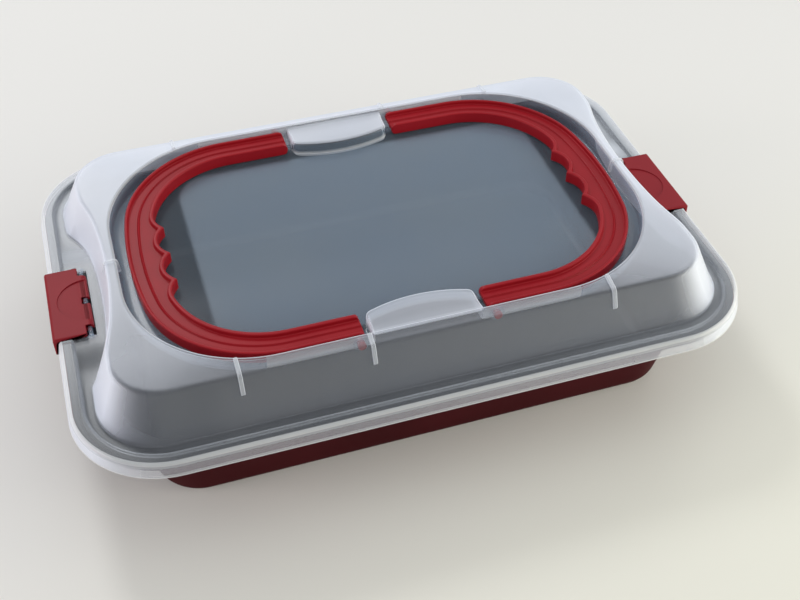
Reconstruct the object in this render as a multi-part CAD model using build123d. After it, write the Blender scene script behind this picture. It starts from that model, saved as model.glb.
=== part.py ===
from build123d import *
import os
from math import acos, asin, atan2, cos, hypot, sin, sqrt

os.makedirs("parts", exist_ok=True)

# All sizes are millimetres. The origin is the middle of the pan's bottom, on the table.
# X runs along the pan, Y across it, and the side at -Y is the front.

# Pan, drawn from sheet steel
pan_base_length = 334.0
pan_base_width = 222.0
pan_base_corner = 28.5
pan_mouth_length = 364.0
pan_mouth_width = 250.0
pan_mouth_corner = 42.0
pan_depth = 67.0
pan_sheet = 1.0
pan_bottom_bend = 8.0
rim_length = 413.6
rim_width = 283.6
rim_corner = 53.8
rim_radius = 2.4

# Lid, one plastic moulding
lid_wall = 1.6
seat_gap = 0.2
skirt_wall = 1.4
skirt_clearance = 1.8
skirt_drop = 4.6
skirt_slope = 2.0
deck_thickness = 1.8
bead_rise = 3.2
bead_width = 8.5
bead_bevel = 1.3
end_ledge = 6.0
side_ledge = 8.2
foot_corner = 37.0
shoulder_corner = 31.0
dome_height = 29.0
dome_slope = 12.0
shoulder_round = 4.0
land_rise = 1.3
end_land = 15.9
side_land = 8.9
recess_corner = 78.0
recess_depth = 10.5
recess_draft = 0.9
floor_bevel = 1.0

# Pads in the middle of the long sides of the recess
boss_gap = 3.75
boss_reach = 24.9
boss_bulge = 6.5
boss_corner = 6.0
boss_drop = 2.3
boss_bevel = 1.0

# Pockets in the short sides of the dome, behind the latches
pocket_foot_depth = 15.1
pocket_top_depth = 9.1
pocket_flat_half = 40.0
pocket_flat_sag = 2.5
pocket_foot_half = 70.0
pocket_top_half = 68.0

# Stiffening ribs on the dome
rib_width = 2.5
rib_proud = 1.2
rib_drop = 12.0
rib_spacing = 113.0
rib_offset = 36.4
end_rib_width = 2.0

# Lift handles
pivot_x = 41.5
arm_end_radius = 4.05
floor_gap = 0.3
arm_clearance = 1.2
arm_width = 16.7
grip_gap = 6.3
grip_radius = 250.0
handle_corner = 76.0
opening_corner = 60.0
scallop_radius = 15.5
scallop_pitch = 25.0
grip_width = 26.3
handle_lip = 2.0
opening_lip = 2.7
handle_channel = 2.8
ridge_inset = 7.9
ridge_width = 1.2
ridge_height = 1.0
pin_radius = 2.5
pin_reach = 7.3
pin_fit = 0.06
pin_collar = 2.0
pin_collar_length = 1.6

# Latches
latch_half = 30.8
latch_reach = 22.7
latch_proud = 1.5
latch_thickness = 2.9
latch_gap = 0.2
latch_lip = 2.5
latch_drop = 12.5
latch_nose = 1.5
latch_nose_height = 1.6
latch_round = 1.8
latch_edge_gap = 2.2
latch_side_gap = 1.0
pad_rise = 1.4
pad_half = 36.0
pad_ramp = 24.0
bar_radius = 1.3
bar_fit = 0.06
clip_wall = 1.44
clip_inner = 3.0
clip_outer = 23.0
clip_mouth = 2.3
slot_clearance = 0.4
slot_half = 30.0
ear_radius = 1.9
ear_width = 1.8
scoop_radius = 18.4
scoop_offset = 3.8
scoop_shallow = 0.5
scoop_deep = 1.0
scoop_margin = 1.0
clip_overlap = 1.0

# Heights
deck_low = pan_depth + seat_gap
deck_top = deck_low + deck_thickness
bead_top = deck_top + bead_rise
skirt_low = deck_low - skirt_drop
shoulder_z = deck_top + dome_height
crest_z = shoulder_z + land_rise
floor_z = crest_z - recess_depth
boss_z = crest_z - boss_drop
handle_low = floor_z + floor_gap
handle_top = handle_low + 2 * arm_end_radius
pivot_z = handle_low + arm_end_radius
pad_top = deck_top + pad_rise
latch_low = pad_top + latch_gap
latch_top = latch_low + latch_thickness
bar_z = pad_top

# Half lengths (x) and half widths (y) of the lid's outlines, from the rim inwards
skirt_x = rim_length / 2 + skirt_clearance + skirt_wall
skirt_y = rim_width / 2 + skirt_clearance + skirt_wall
skirt_corner = rim_corner + skirt_clearance + skirt_wall
bead_x = skirt_x - skirt_slope
bead_y = skirt_y - skirt_slope
groove_x = bead_x - bead_width
groove_y = bead_y - bead_width
groove_corner = skirt_corner - skirt_slope - bead_width
foot_x = groove_x - end_ledge
foot_y = groove_y - side_ledge
shoulder_x = foot_x - dome_slope
shoulder_y = foot_y - dome_slope
recess_x = shoulder_x - end_land
recess_y = shoulder_y - side_land

# Places of the handles and latches
arm_y = recess_y - recess_draft - arm_clearance
arm_inner_y = arm_y - arm_width
grip_x = recess_x - recess_draft - grip_gap
boss_x = pivot_x - arm_end_radius - boss_gap
latch_x = skirt_x + latch_proud
bar_x = latch_x - latch_reach
clip_radius = bar_radius + bar_fit + clip_wall
end_overcut = 2.0


def block(half_x, half_y, corner, low, top_x, top_y, top_corner, high):
    """A drafted block with rounded corners between two heights."""
    bottom = Pos(0, 0, low) * RectangleRounded(2 * half_x, 2 * half_y, corner)
    top = Pos(0, 0, high) * RectangleRounded(2 * top_x, 2 * top_y, top_corner)
    return loft([bottom, top], ruled=True)


def edges_at(solid, height):
    """The edges of a solid that lie level at one height."""
    return solid.edges().filter_by_position(Axis.Z, height - 0.001, height + 0.001)


def both_ends(solid):
    """A form and its copy turned half round about the lid's middle."""
    return solid + Rot(0, 0, 180) * solid


# Pan
def pan_form(inset):
    """The pan's drafted bowl, drawn in by an inset, with its rounded bottom edge."""
    bowl = block(
        pan_base_length / 2 - inset, pan_base_width / 2 - inset, pan_base_corner - inset, inset,
        pan_mouth_length / 2 - inset, pan_mouth_width / 2 - inset, pan_mouth_corner - inset, pan_depth,
    )
    return fillet(edges_at(bowl, inset), pan_bottom_bend - inset)


def make_pan():
    """Bowl, flat flange and the rim rolled over a wire."""
    rim_x = rim_length / 2 - rim_radius
    rim_y = rim_width / 2 - rim_radius
    rim_z = pan_depth - pan_sheet / 2
    flange_face = RectangleRounded(2 * rim_x, 2 * rim_y, rim_corner - rim_radius)
    flange = extrude(Pos(0, 0, pan_depth - pan_sheet) * flange_face, pan_sheet)
    path = (Pos(0, 0, rim_z) * flange_face).wires()[0]
    roll = sweep(Plane(origin=path @ 0, z_dir=path % 0) * Circle(rim_radius), path=path)
    return pan_form(0) + flange + roll - pan_form(pan_sheet)


# Lid
def skirt_outline(height, inset):
    """The outline of the sloped skirt at a height."""
    lean = skirt_slope * (height - skirt_low) / (bead_top - skirt_low)
    shift = inset + lean
    return Pos(0, 0, height) * RectangleRounded(
        2 * (skirt_x - shift), 2 * (skirt_y - shift), skirt_corner - shift
    )


def dome_outline(height, inset):
    """The outline of the drafted dome at a height."""
    part_up = (height - deck_top) / dome_height
    shift = inset + dome_slope * part_up
    corner = foot_corner + (shoulder_corner - foot_corner) * part_up - inset
    return Pos(0, 0, height) * RectangleRounded(2 * (foot_x - shift), 2 * (foot_y - shift), corner)


def pocket_outline(height, inset):
    """The plan of one latch pocket at a height: a flat arc that turns out at both sides."""
    part_up = (height - deck_top) / dome_height
    depth = pocket_foot_depth + (pocket_top_depth - pocket_foot_depth) * part_up
    half = pocket_foot_half + (pocket_top_half - pocket_foot_half) * part_up
    wall_x = foot_x - dome_slope * part_up
    middle_x = wall_x - depth - inset
    flat_x = middle_x + pocket_flat_sag
    arc_radius = (pocket_flat_half**2 + pocket_flat_sag**2) / (2 * pocket_flat_sag)
    turn = asin(pocket_flat_half / arc_radius)
    flat_arc = ThreePointArc((flat_x, -pocket_flat_half), (middle_x, 0), (flat_x, pocket_flat_half))
    upper = TangentArc((flat_x, pocket_flat_half), (wall_x - inset, half), tangent=(sin(turn), cos(turn)))
    lower = upper.mirror(Plane.XZ)
    far_x = skirt_x + end_overcut
    far_y = half + far_x - wall_x
    closing = Polyline((wall_x - inset, half), (far_x, far_y), (far_x, -far_y), (wall_x - inset, -half))
    face = make_face(Curve() + [lower, flat_arc, upper, closing])
    return Pos(0, 0, height) * face


def pocket_form(inset, low):
    """The space of one latch pocket above a height."""
    return loft([pocket_outline(low, inset), pocket_outline(crest_z + end_overcut, inset)], ruled=True)


def dome_form(inset, low, high):
    """The dome with a pocket cut into each short side."""
    dome = loft([dome_outline(low, inset), dome_outline(high, inset)], ruled=True)
    return dome - both_ends(pocket_form(inset, low))


def land_form():
    """The land round the recess, which rises gently from the shoulder to the crest."""
    crest = Pos(0, 0, crest_z) * RectangleRounded(2 * recess_x, 2 * recess_y, recess_corner)
    land = loft([dome_outline(shoulder_z, shoulder_round), crest], ruled=True)
    return land - both_ends(pocket_form(shoulder_round, deck_low))


def boss_outline(height, inset):
    """The plan of one raised pad at the front side of the recess, with a bulged inner side."""
    half = boss_x - inset
    middle_y = -(recess_y - boss_reach + inset)
    end_y = middle_y - boss_bulge
    back_y = -(recess_y + lid_wall / 2)
    front = ThreePointArc((-half, end_y), (0, middle_y), (half, end_y))
    sides = Polyline((half, end_y), (half, back_y), (-half, back_y), (-half, end_y))
    face = make_face(Curve() + [front, sides])
    inner_corners = face.vertices().group_by(Axis.Y)[-1]
    return Pos(0, 0, height) * fillet(inner_corners, boss_corner - inset)


def recess_outline(height, grow):
    """The plan of the tray at a height."""
    shift = grow - recess_draft * (crest_z - height) / recess_depth
    return Pos(0, 0, height) * RectangleRounded(
        2 * (recess_x + shift), 2 * (recess_y + shift), recess_corner + grow
    )


def recess_form(grow):
    """The tray sunk into the lid's top, less the two pads that stand in it."""
    low = floor_z - grow
    top = boss_z - grow
    tray = loft(
        [recess_outline(low, grow - floor_bevel), recess_outline(low + floor_bevel, grow),
         recess_outline(crest_z + end_overcut, grow)],
        ruled=True,
    )
    pad = loft(
        [boss_outline(low, grow), boss_outline(top - boss_bevel, grow), boss_outline(top, grow + boss_bevel)],
        ruled=True,
    )
    return tray - both_ends(pad)


def bead_form():
    """The skirt with its bevelled bead and the deck sunk inside it."""
    bevel_z = bead_top - bead_bevel
    skirt = loft([skirt_outline(skirt_low, 0), skirt_outline(bevel_z, 0), skirt_outline(bead_top, bead_bevel)],
                 ruled=True)
    groove = RectangleRounded(2 * groove_x, 2 * groove_y, groove_corner)
    wide_groove = RectangleRounded(
        2 * (groove_x + bead_bevel), 2 * (groove_y + bead_bevel), groove_corner + bead_bevel
    )
    cut = loft([Pos(0, 0, deck_top) * groove, Pos(0, 0, bevel_z) * groove, Pos(0, 0, bead_top) * wide_groove],
               ruled=True)
    return skirt - cut


def pad_form():
    """The raised step of the deck under one latch, ramped down at both ends."""
    profile = Polyline(
        (-pad_half - pad_ramp, deck_top), (-pad_half, pad_top), (pad_half, pad_top),
        (pad_half + pad_ramp, deck_top), (pad_half + pad_ramp, deck_low),
        (-pad_half - pad_ramp, deck_low), (-pad_half - pad_ramp, deck_top),
    )
    length = groove_x - (foot_x - pocket_foot_depth)
    return extrude(Plane.YZ.offset(groove_x - length) * make_face(profile), length)


def side_rib(x):
    """A rib over the land and down the front wall."""
    tip_z = shoulder_z - rib_drop
    tip_y = shoulder_y + dome_slope * rib_drop / dome_height
    start_y = recess_y + rib_proud
    profile = Polyline(
        (-start_y, crest_z - lid_wall), (-start_y, crest_z), (-start_y - rib_proud, crest_z + rib_proud),
        (-shoulder_y, shoulder_z + rib_proud), (-shoulder_y - rib_proud, shoulder_z),
        (-tip_y - rib_proud, tip_z), (-tip_y, tip_z - rib_proud),
        (-shoulder_y, shoulder_z - lid_wall), (-start_y, crest_z - lid_wall),
    )
    return extrude(Plane.YZ.offset(x - rib_width / 2) * make_face(profile), rib_width)


def end_rib():
    """A thin rib from the recess floor over the land and down the wall of a pocket."""
    tip_z = shoulder_z - rib_drop
    top_x = shoulder_x - pocket_top_depth
    pocket_slope = dome_slope - (pocket_foot_depth - pocket_top_depth)
    tip_x = top_x + pocket_slope * rib_drop / dome_height
    inner_x = recess_x - recess_draft - rib_proud
    profile = Polyline(
        (inner_x, floor_z - lid_wall / 2), (inner_x, crest_z - lid_wall), (recess_x + rib_proud, crest_z + rib_proud),
        (top_x, shoulder_z + rib_proud), (top_x + rib_proud, shoulder_z), (tip_x + rib_proud, tip_z),
        (tip_x, tip_z - rib_proud), (top_x, shoulder_z - lid_wall), (recess_x, crest_z - 2 * lid_wall),
        (recess_x, floor_z - lid_wall / 2), (inner_x, floor_z - lid_wall / 2),
    )
    return extrude(Plane.XZ.offset(-end_rib_width / 2) * make_face(profile), end_rib_width)


def lid_outside():
    """The lid's outer shape, still filled."""
    dome = dome_form(0, deck_low, shoulder_z)
    dome = fillet(edges_at(dome, shoulder_z), shoulder_round)
    ribs = [side_rib(x) for x in (-rib_spacing, -rib_offset, rib_spacing)]
    shell = bead_form() + dome + land_form() + both_ends(pad_form())
    for rib in ribs:
        shell += both_ends(rib)
    shell -= recess_form(0)
    return shell + both_ends(end_rib())


def lid_inside():
    """The space under the lid: the bowl's mouth, the channel over the rim and the dome."""
    mouth = loft([skirt_outline(skirt_low - end_overcut, skirt_wall), skirt_outline(deck_low, skirt_wall)], ruled=True)
    ceiling = bead_top - skirt_wall
    channel = loft([skirt_outline(deck_low, skirt_wall), skirt_outline(ceiling, skirt_wall)], ruled=True)
    island = RectangleRounded(
        2 * (groove_x + skirt_wall), 2 * (groove_y + skirt_wall), groove_corner + skirt_wall
    )
    channel -= extrude(Pos(0, 0, deck_low) * island, bead_rise + deck_thickness)
    dome = dome_form(lid_wall, deck_low, shoulder_z - lid_wall)
    return mouth + channel + (dome - recess_form(lid_wall))


def latch_cuts():
    """The notch in the bead and skirt at one latch, and the slot for its clips."""
    notch_width = 2 * (latch_half + latch_side_gap)
    notch = Box(
        2 * end_overcut + skirt_x - groove_x, notch_width, bead_top - skirt_low + 2 * end_overcut,
        align=(Align.MIN, Align.CENTER, Align.MIN),
    )
    slot_length = 2 * (clip_radius + slot_clearance)
    slot = Box(slot_length, 2 * slot_half, 2 * (pad_top - deck_low))
    return Pos(groove_x, 0, skirt_low - end_overcut) * notch + Pos(bar_x, 0, pad_top) * slot


def hinge_bar():
    """The round bar across the slot, with an ear at each end."""
    bar = Cylinder(bar_radius, 2 * slot_half + ear_width, rotation=(90, 0, 0))
    ear = Cylinder(ear_radius, ear_width, rotation=(90, 0, 0))
    ear_y = slot_half + ear_width / 2
    return Pos(bar_x, 0, bar_z) * (bar + Pos(0, ear_y, 0) * ear + Pos(0, -ear_y, 0) * ear)


def pin_places():
    """Where the four handle pins pass through the long sides of the recess."""
    return [(x, y) for x in (-pivot_x, pivot_x) for y in (-1, 1)]


def make_lid():
    """The whole moulding with its hinge bars and pin holes."""
    lid = lid_outside() - lid_inside() - both_ends(latch_cuts()) + both_ends(hinge_bar())
    collar_y = recess_y + lid_wall / 2
    collar = Cylinder(
        pin_radius + pin_collar, lid_wall / 2 + pin_collar_length, rotation=(-90, 0, 0),
        align=(Align.CENTER, Align.CENTER, Align.MIN),
    )
    hole = Cylinder(
        pin_radius + pin_fit, 2 * pin_reach, rotation=(-90, 0, 0),
        align=(Align.CENTER, Align.CENTER, Align.CENTER),
    )
    for x, side in pin_places():
        turn = Pos(x, 0, pivot_z) * Rot(0, 0, 0 if side > 0 else 180)
        lid += turn * Pos(0, collar_y, 0) * collar
        lid -= turn * Pos(0, collar_y, 0) * hole
    return lid


# Handles
def circle_meet(first, second, radius):
    """The far crossing, in x, of two equal circles."""
    half_gap = hypot(second[0] - first[0], second[1] - first[1]) / 2
    reach = sqrt(radius**2 - half_gap**2)
    along_x = (second[0] - first[0]) / (2 * half_gap)
    along_y = (second[1] - first[1]) / (2 * half_gap)
    middle_x = (first[0] + second[0]) / 2
    middle_y = (first[1] + second[1]) / 2
    return middle_x + reach * along_y, middle_y - reach * along_x


def arc_between(centre, radius, start, end):
    """The short arc of a circle from one point to another."""
    first = atan2(start[1] - centre[1], start[0] - centre[0])
    last = atan2(end[1] - centre[1], end[0] - centre[0])
    half = (first + last) / 2
    middle = (centre[0] + radius * cos(half), centre[1] + radius * sin(half))
    return ThreePointArc(start, middle, end)


def handle_outline(inset, start_x):
    """The outer side of the handle, drawn in by an inset: two arms, two corners, a bowed grip."""
    end_centre_x = grip_x - grip_radius
    corner_y = arm_y - handle_corner
    between = grip_radius - handle_corner
    corner_x = end_centre_x + sqrt(between**2 - corner_y**2)
    join_x = end_centre_x + (grip_radius - inset) * (corner_x - end_centre_x) / between
    join_y = (grip_radius - inset) * corner_y / between
    side_y = arm_y - inset
    corner = arc_between((corner_x, corner_y), handle_corner - inset, (join_x, join_y), (corner_x, side_y))
    grip = ThreePointArc((join_x, -join_y), (grip_x - inset, 0), (join_x, join_y))
    arms = Polyline((corner_x, side_y), (start_x, side_y), (start_x, -side_y), (corner_x, -side_y))
    return make_face(Curve() + [corner.mirror(Plane.XZ), grip, corner, arms])


def handle_opening(grow, start_x):
    """The hand opening with its four finger scallops, widened by a growth."""
    scallop_x = grip_x - grip_width - sqrt(scallop_radius**2 - (scallop_pitch / 2)**2)
    corner_x = scallop_x + scallop_radius - opening_corner
    corner_y = arm_inner_y - opening_corner
    inner_scallop = (scallop_x, scallop_pitch / 2)
    cusp = (scallop_x + sqrt(scallop_radius**2 - (scallop_pitch / 2)**2), scallop_pitch)
    # The outermost scallop passes through the last cusp and runs smoothly into the corner.
    between = opening_corner - scallop_radius
    gap_x = cusp[0] - corner_x
    gap_y = cusp[1] - corner_y
    gap = hypot(gap_x, gap_y)
    lean = acos((between**2 + gap**2 - scallop_radius**2) / (2 * between * gap))
    turn = atan2(gap_y, gap_x) + lean
    outer_scallop = (corner_x + between * cos(turn), corner_y + between * sin(turn))
    radius = scallop_radius + grow
    side_y = arm_inner_y + grow
    middle_cusp = (scallop_x + sqrt(radius**2 - (scallop_pitch / 2)**2), 0)
    side_cusp = circle_meet(inner_scallop, outer_scallop, radius)
    join = (
        corner_x + (opening_corner + grow) * cos(turn),
        corner_y + (opening_corner + grow) * sin(turn),
    )
    half = [
        arc_between(inner_scallop, radius, middle_cusp, side_cusp),
        arc_between(outer_scallop, radius, side_cusp, join),
        arc_between((corner_x, corner_y), opening_corner + grow, join, (corner_x, side_y)),
    ]
    other_half = [edge.mirror(Plane.XZ) for edge in half]
    arms = Polyline((corner_x, side_y), (start_x, side_y), (start_x, -side_y), (corner_x, -side_y))
    return make_face(Curve() + half + other_half + [arms])


def make_handle():
    """The right handle lying folded: a channelled bow with a pin at the end of each arm."""
    tail_x = pivot_x - 2 * arm_end_radius
    plan = handle_outline(0, pivot_x) - handle_opening(0, tail_x)
    blank = extrude(Pos(0, 0, handle_low) * plan, 2 * arm_end_radius)
    knuckle = Cylinder(arm_end_radius, arm_width, rotation=(90, 0, 0))
    for side in (-1, 1):
        blank += Pos(pivot_x, side * (arm_y - arm_width / 2), pivot_z) * knuckle
    channel_z = handle_top - handle_channel
    channel = handle_outline(handle_lip, tail_x) - handle_opening(opening_lip, tail_x - end_overcut)
    ridge = handle_outline(ridge_inset, tail_x)
    ridge -= handle_outline(ridge_inset + ridge_width, tail_x - end_overcut)
    bow = blank - extrude(Pos(0, 0, channel_z) * channel, handle_channel)
    bow += extrude(Pos(0, 0, channel_z) * ridge, ridge_height) & blank
    pin = Cylinder(pin_radius, pin_reach + handle_lip, rotation=(90, 0, 0))
    for side in (-1, 1):
        bow += Pos(pivot_x, side * (arm_y + (pin_reach - handle_lip) / 2), pivot_z) * pin
    return bow


# Latches
def make_latch():
    """The right latch: a plate with a turned-down lip, a thumb scoop and two clips."""
    inner_x = bar_x + latch_edge_gap
    lip_x = latch_x - latch_lip
    lip_z = latch_top - latch_drop
    profile = Polyline(
        (inner_x, latch_low), (inner_x, latch_top), (latch_x, latch_top), (latch_x, lip_z),
        (lip_x - latch_nose, lip_z), (lip_x - latch_nose, lip_z + latch_nose_height / 2),
        (lip_x, lip_z + latch_nose_height), (lip_x, latch_low), (inner_x, latch_low),
    )
    latch = extrude(Plane.XZ.offset(-latch_half) * make_face(profile), 2 * latch_half)
    latch = fillet(latch.edges().filter_by(Axis.Y).sort_by(Axis.X)[-2:], latch_round)
    clip_length = clip_outer - clip_inner
    barrel = Cylinder(clip_radius, clip_length, rotation=(90, 0, 0))
    neck = Box(
        latch_edge_gap + clip_overlap, clip_length, clip_radius - latch_gap,
        align=(Align.MIN, Align.CENTER, Align.MIN),
    )
    bore = Cylinder(bar_radius + bar_fit, clip_length, rotation=(90, 0, 0))
    mouth = Box(clip_radius, clip_length, clip_mouth, align=(Align.MAX, Align.CENTER, Align.CENTER))
    clip = barrel + Pos(0, 0, latch_gap) * neck - bore - Rot(0, -45, 0) * mouth
    for side in (-1, 1):
        latch += Pos(bar_x, side * (clip_inner + clip_outer) / 2, bar_z) * clip
    scoop_x = inner_x - scoop_offset
    near_x = bar_x - clip_radius
    far_x = scoop_x + scoop_radius + scoop_margin
    scoop_floor = Polyline(
        (near_x, latch_top - scoop_deep), (near_x, latch_top + scoop_margin),
        (far_x, latch_top + scoop_margin), (far_x, latch_top - scoop_shallow), (near_x, latch_top - scoop_deep),
    )
    wedge = extrude(Plane.XZ.offset(-scoop_radius) * make_face(scoop_floor), 2 * scoop_radius)
    drum = Cylinder(scoop_radius, 4 * scoop_deep)
    return latch - (wedge & (Pos(scoop_x, 0, latch_top) * drum))


def save(shape, name):
    """Write one piece."""
    export_step(shape, f"parts/{name}.step")


handle = make_handle()
latch = make_latch()
save(make_pan(), "baking_pan")
save(make_lid(), "lid")
save(handle, "handle_right")
save(Rot(0, 0, 180) * handle, "handle_left")
save(latch, "latch_right")
save(Rot(0, 0, 180) * latch, "latch_left")
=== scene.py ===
import math

import bpy
import numpy as np
from mathutils import Matrix, Vector


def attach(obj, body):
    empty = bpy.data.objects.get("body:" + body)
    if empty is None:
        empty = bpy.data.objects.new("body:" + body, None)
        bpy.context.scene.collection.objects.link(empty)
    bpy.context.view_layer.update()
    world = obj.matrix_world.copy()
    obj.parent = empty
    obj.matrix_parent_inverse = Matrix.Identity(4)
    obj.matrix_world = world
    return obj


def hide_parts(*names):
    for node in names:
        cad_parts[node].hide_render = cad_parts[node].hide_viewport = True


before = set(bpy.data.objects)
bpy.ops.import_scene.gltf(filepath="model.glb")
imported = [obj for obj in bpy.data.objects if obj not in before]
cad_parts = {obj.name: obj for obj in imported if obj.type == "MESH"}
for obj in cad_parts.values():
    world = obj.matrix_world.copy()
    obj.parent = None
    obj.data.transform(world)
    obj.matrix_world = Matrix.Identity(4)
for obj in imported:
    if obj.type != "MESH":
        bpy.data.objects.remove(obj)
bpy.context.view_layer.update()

mm = 0.001               # all dictionaries of pieces are in millimetres

# Camera at the photo's angle, in metres and degrees
view = {
    "azimuth": 17.7,      # turned from straight on towards the left end
    "elevation": 43.8,
    "distance": 0.7338,
    "target": (0.0042, -0.0368, 0.050),
    "focalPixels": 1131.4,
    "imageWidth": 800.0,
    "sensor": 36.0,
}


def makeCamera(v):
    # looks at the target from the given azimuth and elevation; the lens is the focal length in pixels,
    # turned into millimetres by the sensor's width
    az, el = math.radians(v["azimuth"]), math.radians(v["elevation"])
    forward = Vector((math.sin(az) * math.cos(el), math.cos(az) * math.cos(el), -math.sin(el)))
    right = Vector((math.cos(az), -math.sin(az), 0.0))
    up = right.cross(forward)
    place = Vector(v["target"]) - forward * v["distance"]
    turn = Matrix((right, up, -forward)).transposed().to_4x4()
    data = bpy.data.cameras.new("photoCamera")
    data.sensor_width = v["sensor"]
    data.lens = v["focalPixels"] / v["imageWidth"] * v["sensor"]
    data.clip_start = 0.02
    camera = bpy.data.objects.new("photoCamera", data)
    camera.matrix_world = Matrix.Translation(place) @ turn
    bpy.context.collection.objects.link(camera)
    bpy.context.scene.camera = camera


makeCamera(view)
print("stage: camera")


# Mesh helpers. A part of a piece is (points, face arrays, material number or one entry for each array)
def gridFaces(rows, cols, closed=False):
    # quads between neighbouring rows and columns; the columns may close on themselves
    r, c = np.meshgrid(np.arange(rows - 1), np.arange(cols if closed else cols - 1), indexing="ij")
    n = (c + 1) % cols
    return np.stack([r * cols + c, r * cols + n, (r + 1) * cols + n, (r + 1) * cols + c], -1).reshape(-1, 4)


def volumeOf(points, faceArrays):
    # signed volume: a sum of the tetrahedra from the origin to each fan triangle
    total = 0.0
    for faces in faceArrays:
        a = points[faces[:, :1]]
        b, c = points[faces[:, 1:-1]], points[faces[:, 2:]]
        total += float(np.sum(a * np.cross(b, c)))
    return total


def closedPart(points, faceArrays, material=0):
    # a closed part, turned over when its faces point inwards
    if volumeOf(points - points.mean(0), faceArrays) < 0:
        faceArrays = [f[:, ::-1] for f in faceArrays]
    return points, faceArrays, material


def sweptPart(grid, material=0):
    # closed loops (row by row) joined into a tube, with a flat face over both ends
    rows, cols, _ = grid.shape
    ends = [np.arange(cols)[None, ::-1], np.arange(cols)[None, :] + (rows - 1) * cols]
    return closedPart(grid.reshape(-1, 3), [gridFaces(rows, cols, True)] + ends, material)


def rod(start, end, radius, chamfer=0.3, count=32):
    # circles along an axis, the end ones drawn in by the chamfer
    start, end = np.array(start, float), np.array(end, float)
    length = np.linalg.norm(end - start)
    along = (end - start) / length
    side = np.cross(along, [0.0, 0.0, 1.0] if abs(along[2]) < 0.9 else [1.0, 0.0, 0.0])
    side /= np.linalg.norm(side)
    other = np.cross(along, side)
    turn = np.linspace(0, 2 * np.pi, count, endpoint=False)
    ring = np.cos(turn)[:, None] * side + np.sin(turn)[:, None] * other
    steps = [(0, radius - chamfer), (chamfer, radius), (length - chamfer, radius), (length, radius - chamfer)]
    return np.stack([start + along * t + ring * r for t, r in steps])


def pillow(loops, inset):
    # clockwise loops (rows x columns x 2), each drawn in along its own normals by its row's inset
    along = np.roll(loops, -1, 1) - np.roll(loops, 1, 1)
    along /= np.linalg.norm(along, axis=2)[..., None] + 1e-9
    inward = np.stack([along[..., 1], -along[..., 0]], 2)
    return loops + inward * inset[:, None, None]


def halfTurn(part):
    # the same part turned half round about the middle of the pan
    return part[0] * np.array([-1.0, -1.0, 1.0]), part[1], part[2]


def softMax(a, b, width):
    # the larger of two values, rounded off where they are close: half of a + b + root((a - b)^2 + width^2)
    return 0.5 * (a + b + np.sqrt((a - b) ** 2 + width**2))


def smoothStep(x, low, high):
    # 0 below low, 1 above high, and 3t^2 - 2t^3 between them
    t = np.clip((x - low) / (high - low), 0, 1)
    return t * t * (3 - 2 * t)


def fanRays(middle, first, firstAim, fan, last, lastAim):
    # origins and directions: straight rays from the first points, a fan of angles from the middle point,
    # and straight rays from the last points
    spread = np.stack([np.cos(fan), np.sin(fan)], 1)
    origin = np.concatenate([first, np.tile(middle, (len(fan), 1)), last])
    aim = np.concatenate([np.tile(firstAim, (len(first), 1)), spread, np.tile(lastAim, (len(last), 1))])
    return origin, aim


def arcSteps(radius, *degrees):
    # both offsets of a rounded corner at each turn: radius x (1 - cos) and radius x (1 - sin)
    return [(radius * (1 - math.cos(a)), radius * (1 - math.sin(a))) for a in np.radians(degrees)]


def makePiece(name, parts, materials, body, node, sharp=40.0):
    # joins the parts into one object that stands for a CAD node and rides its body
    points, sizes, loops, numbers = [], [], [], []
    start = 0
    for partPoints, faceArrays, number in parts:
        points.append(partPoints)
        shades = number if isinstance(number, list) else [number] * len(faceArrays)
        for faces, shade in zip(faceArrays, shades):
            loops.append((faces + start).ravel())
            sizes.append(np.full(len(faces), faces.shape[1]))
            numbers.append(np.full(len(faces), 0) + shade)
        start += len(partPoints)
    points, loops = np.concatenate(points), np.concatenate(loops)
    sizes, numbers = np.concatenate(sizes), np.concatenate(numbers)
    used, loops = np.unique(loops, return_inverse=True)
    points = points[used] * mm
    mesh = bpy.data.meshes.new(name)
    mesh.vertices.add(len(points))
    mesh.vertices.foreach_set("co", points.astype(np.float32).ravel())
    mesh.loops.add(len(loops))
    mesh.loops.foreach_set("vertex_index", loops.astype(np.int32).ravel())
    mesh.polygons.add(len(sizes))
    mesh.polygons.foreach_set("loop_start", np.concatenate([[0], np.cumsum(sizes)[:-1]]).astype(np.int32))
    mesh.polygons.foreach_set("loop_total", sizes.astype(np.int32))
    mesh.polygons.foreach_set("material_index", numbers.astype(np.int32))
    mesh.polygons.foreach_set("use_smooth", np.ones(len(sizes), dtype=bool))
    mesh.update(calc_edges=True)
    mesh.validate()
    mesh.set_sharp_from_angle(angle=math.radians(sharp))
    for material in materials:
        mesh.materials.append(material)
    piece = bpy.data.objects.new(name, mesh)
    bpy.context.collection.objects.link(piece)
    even = piece.modifiers.new("evenNormals", "WEIGHTED_NORMAL")
    even.keep_sharp = True
    even.weight = 60
    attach(piece, body)
    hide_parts(node)
    print("stage:", name, len(points), "points")


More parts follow.
